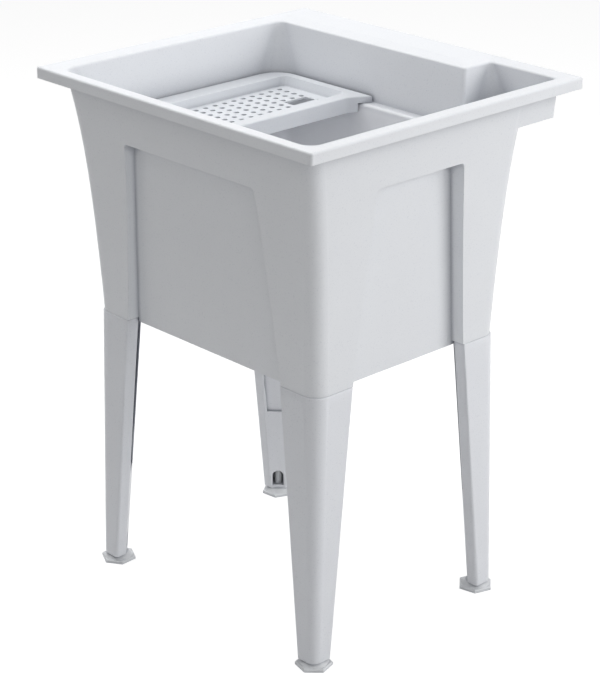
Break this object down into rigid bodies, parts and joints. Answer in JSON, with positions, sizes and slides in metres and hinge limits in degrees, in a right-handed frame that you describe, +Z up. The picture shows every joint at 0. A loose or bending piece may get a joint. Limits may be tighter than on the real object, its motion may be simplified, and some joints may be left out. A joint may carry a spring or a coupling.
{
  "type": "utility laundry sink",
  "caption": "Free-standing deep moulded laundry sink on splayed corner legs, with a rear deck, an open soap pocket, a lift-out drainer tray, levelling feet and a plugged drain.",
  "frame": {"origin": "on the floor under the middle of the rim", "axes": "+X to the right and +Y to the back (deck side) as seen from the front, +Z up"},
  "size_m": [0.626, 0.577, 0.864],
  "materials": {
    "tub_plastic": "light grey moulded polypropylene, fine satin grain",
    "tray_plastic": "light grey moulded polypropylene, satin",
    "leg_plastic": "light grey moulded polypropylene, satin",
    "foot_plastic": "light grey polypropylene, satin",
    "drain_plastic": "white polypropylene, semi-matt",
    "seal_foam": "closed-cell foam",
    "washer_rubber": "black rubber",
    "ring_fibre": "pressed fibre",
    "stopper_rubber": "white rubber",
    "ring_steel": "polished stainless wire"
  },
  "bodies": {
    "sink": {"tub": "tub_plastic", "leg_front_left": "leg_plastic", "leg_front_right": "leg_plastic", "leg_rear_left": "leg_plastic", "leg_rear_right": "leg_plastic", "drain_strainer": "drain_plastic", "strainer_seal": "seal_foam", "drain_washer": "washer_rubber", "friction_ring": "ring_fibre", "drain_locknut": "drain_plastic", "tailpiece_washer": "washer_rubber", "tailpiece": "drain_plastic", "coupling_nut": "drain_plastic"},
    "tray": {"drainer_tray": "tray_plastic"},
    "stopper": {"drain_stopper": "stopper_rubber", "stopper_ring": "ring_steel"},
    "foot_front_left_body": {"foot_front_left": "foot_plastic"},
    "foot_front_right_body": {"foot_front_right": "foot_plastic"},
    "foot_rear_left_body": {"foot_rear_left": "foot_plastic"},
    "foot_rear_right_body": {"foot_rear_right": "foot_plastic"}
  },
  "joints": [
    {"name": "tray_lift", "type": "slide", "parent": "sink", "child": "tray", "axis": [0, 0, 1], "range_m": [0, 0.13]},
    {"name": "stopper_lift", "type": "slide", "parent": "sink", "child": "stopper", "axis": [0, 0, 1], "range_m": [0, 0.06]},
    {"name": "foot_front_left_height", "type": "slide", "parent": "sink", "child": "foot_front_left_body", "axis": [0, 0, -1], "range_m": [0, 0.02]},
    {"name": "foot_front_right_height", "type": "slide", "parent": "sink", "child": "foot_front_right_body", "axis": [0, 0, -1], "range_m": [0, 0.02]},
    {"name": "foot_rear_left_height", "type": "slide", "parent": "sink", "child": "foot_rear_left_body", "axis": [0, 0, -1], "range_m": [0, 0.02]},
    {"name": "foot_rear_right_height", "type": "slide", "parent": "sink", "child": "foot_rear_right_body", "axis": [0, 0, -1], "range_m": [0, 0.02]}
  ]
}
